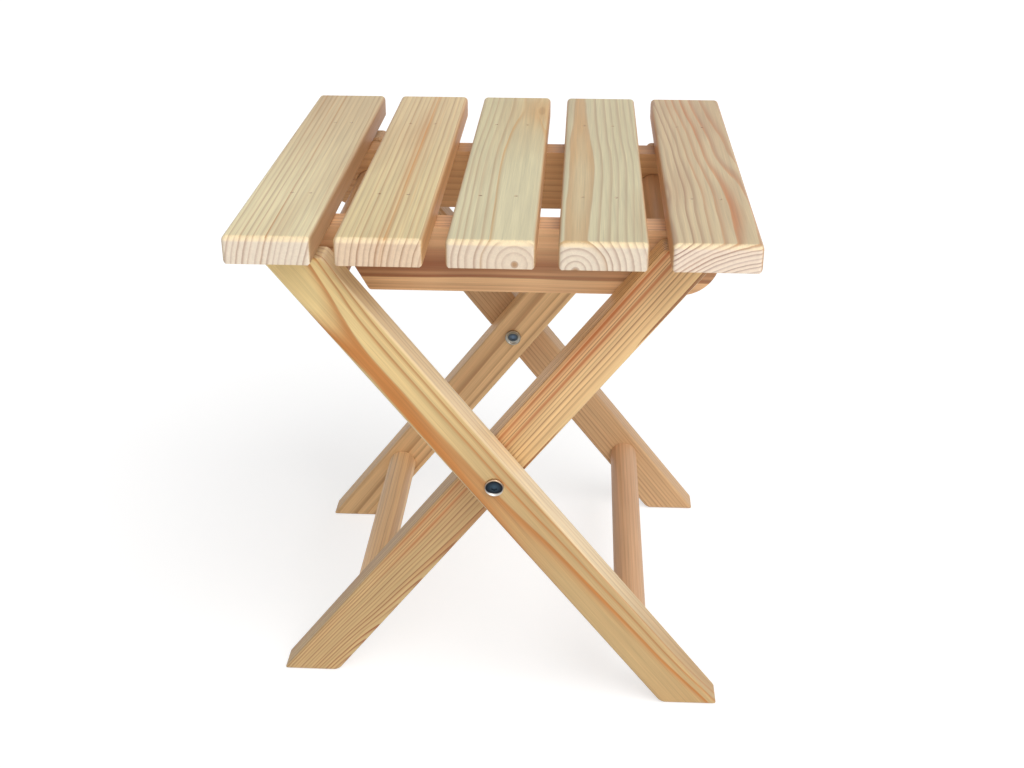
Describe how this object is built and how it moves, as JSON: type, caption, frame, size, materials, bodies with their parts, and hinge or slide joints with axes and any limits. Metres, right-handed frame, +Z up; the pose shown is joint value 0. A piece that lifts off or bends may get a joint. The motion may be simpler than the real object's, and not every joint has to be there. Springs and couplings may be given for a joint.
{
  "type": "folding stool",
  "caption": "Wooden folding stool with a slatted seat on crossed legs, joined by round rods and turning on pivot bolts, with a seat that hinges up to fold flat.",
  "frame": {"origin": "on the floor, under the middle of the seat", "axes": "+X across the slats towards the seat's hinge rod, +Y along the slats towards the rear, +Z up"},
  "size_m": [0.408, 0.43, 0.45],
  "materials": {
    "seat_pine": "planed pine with a thin clear satin coat",
    "rail_pine": "planed pine with a thin clear satin coat",
    "leg_pine": "planed pine with a thin clear satin coat",
    "rod_pine": "turned pine with a thin clear satin coat",
    "bolt_nickel": "bright nickel plate",
    "brad_steel": "dull drawn steel"
  },
  "bodies": {
    "inner_frame": {"inner_leg_front": "leg_pine", "inner_leg_rear": "leg_pine", "seat_hinge_rod": "rod_pine", "inner_lower_rod": "rod_pine", "pivot_bolt_front": "bolt_nickel", "pivot_bolt_rear": "bolt_nickel", "pivot_sleeve_nut_front": "bolt_nickel", "pivot_sleeve_nut_rear": "bolt_nickel", "pivot_washer_front": "bolt_nickel", "pivot_washer_rear": "bolt_nickel"},
    "outer_frame": {"outer_leg_front": "leg_pine", "outer_leg_rear": "leg_pine", "seat_rest_rod": "rod_pine", "outer_lower_rod": "rod_pine"},
    "seat": {"seat_slat_1": "seat_pine", "seat_slat_2": "seat_pine", "seat_slat_3": "seat_pine", "seat_slat_4": "seat_pine", "seat_slat_5": "seat_pine", "seat_rail_front": "rail_pine", "seat_rail_rear": "rail_pine", "slat_brad_1_front_1": "brad_steel", "slat_brad_1_front_2": "brad_steel", "slat_brad_1_rear_1": "brad_steel", "slat_brad_1_rear_2": "brad_steel", "slat_brad_2_front_1": "brad_steel", "slat_brad_2_front_2": "brad_steel", "slat_brad_2_rear_1": "brad_steel", "slat_brad_2_rear_2": "brad_steel", "slat_brad_3_front_1": "brad_steel", "slat_brad_3_front_2": "brad_steel", "slat_brad_3_rear_1": "brad_steel", "slat_brad_3_rear_2": "brad_steel", "slat_brad_4_front_1": "brad_steel", "slat_brad_4_front_2": "brad_steel", "slat_brad_4_rear_1": "brad_steel", "slat_brad_4_rear_2": "brad_steel", "slat_brad_5_front_1": "brad_steel", "slat_brad_5_front_2": "brad_steel", "slat_brad_5_rear_1": "brad_steel", "slat_brad_5_rear_2": "brad_steel"}
  },
  "joints": [
    {"name": "leg_fold", "type": "hinge", "parent": "inner_frame", "child": "outer_frame", "pos_m": [0, 0, 0.221], "axis": [0, 1, 0], "range_deg": [0, 66.2]},
    {"name": "seat_lift", "type": "hinge", "parent": "inner_frame", "child": "seat", "pos_m": [0.1362, 0, 0.3935], "axis": [0, 1, 0], "range_deg": [0, 125.8]}
  ],
  "couplings": [
    {"joint": "seat_lift", "follows": "leg_fold", "ratio": 1.9}
  ]
}
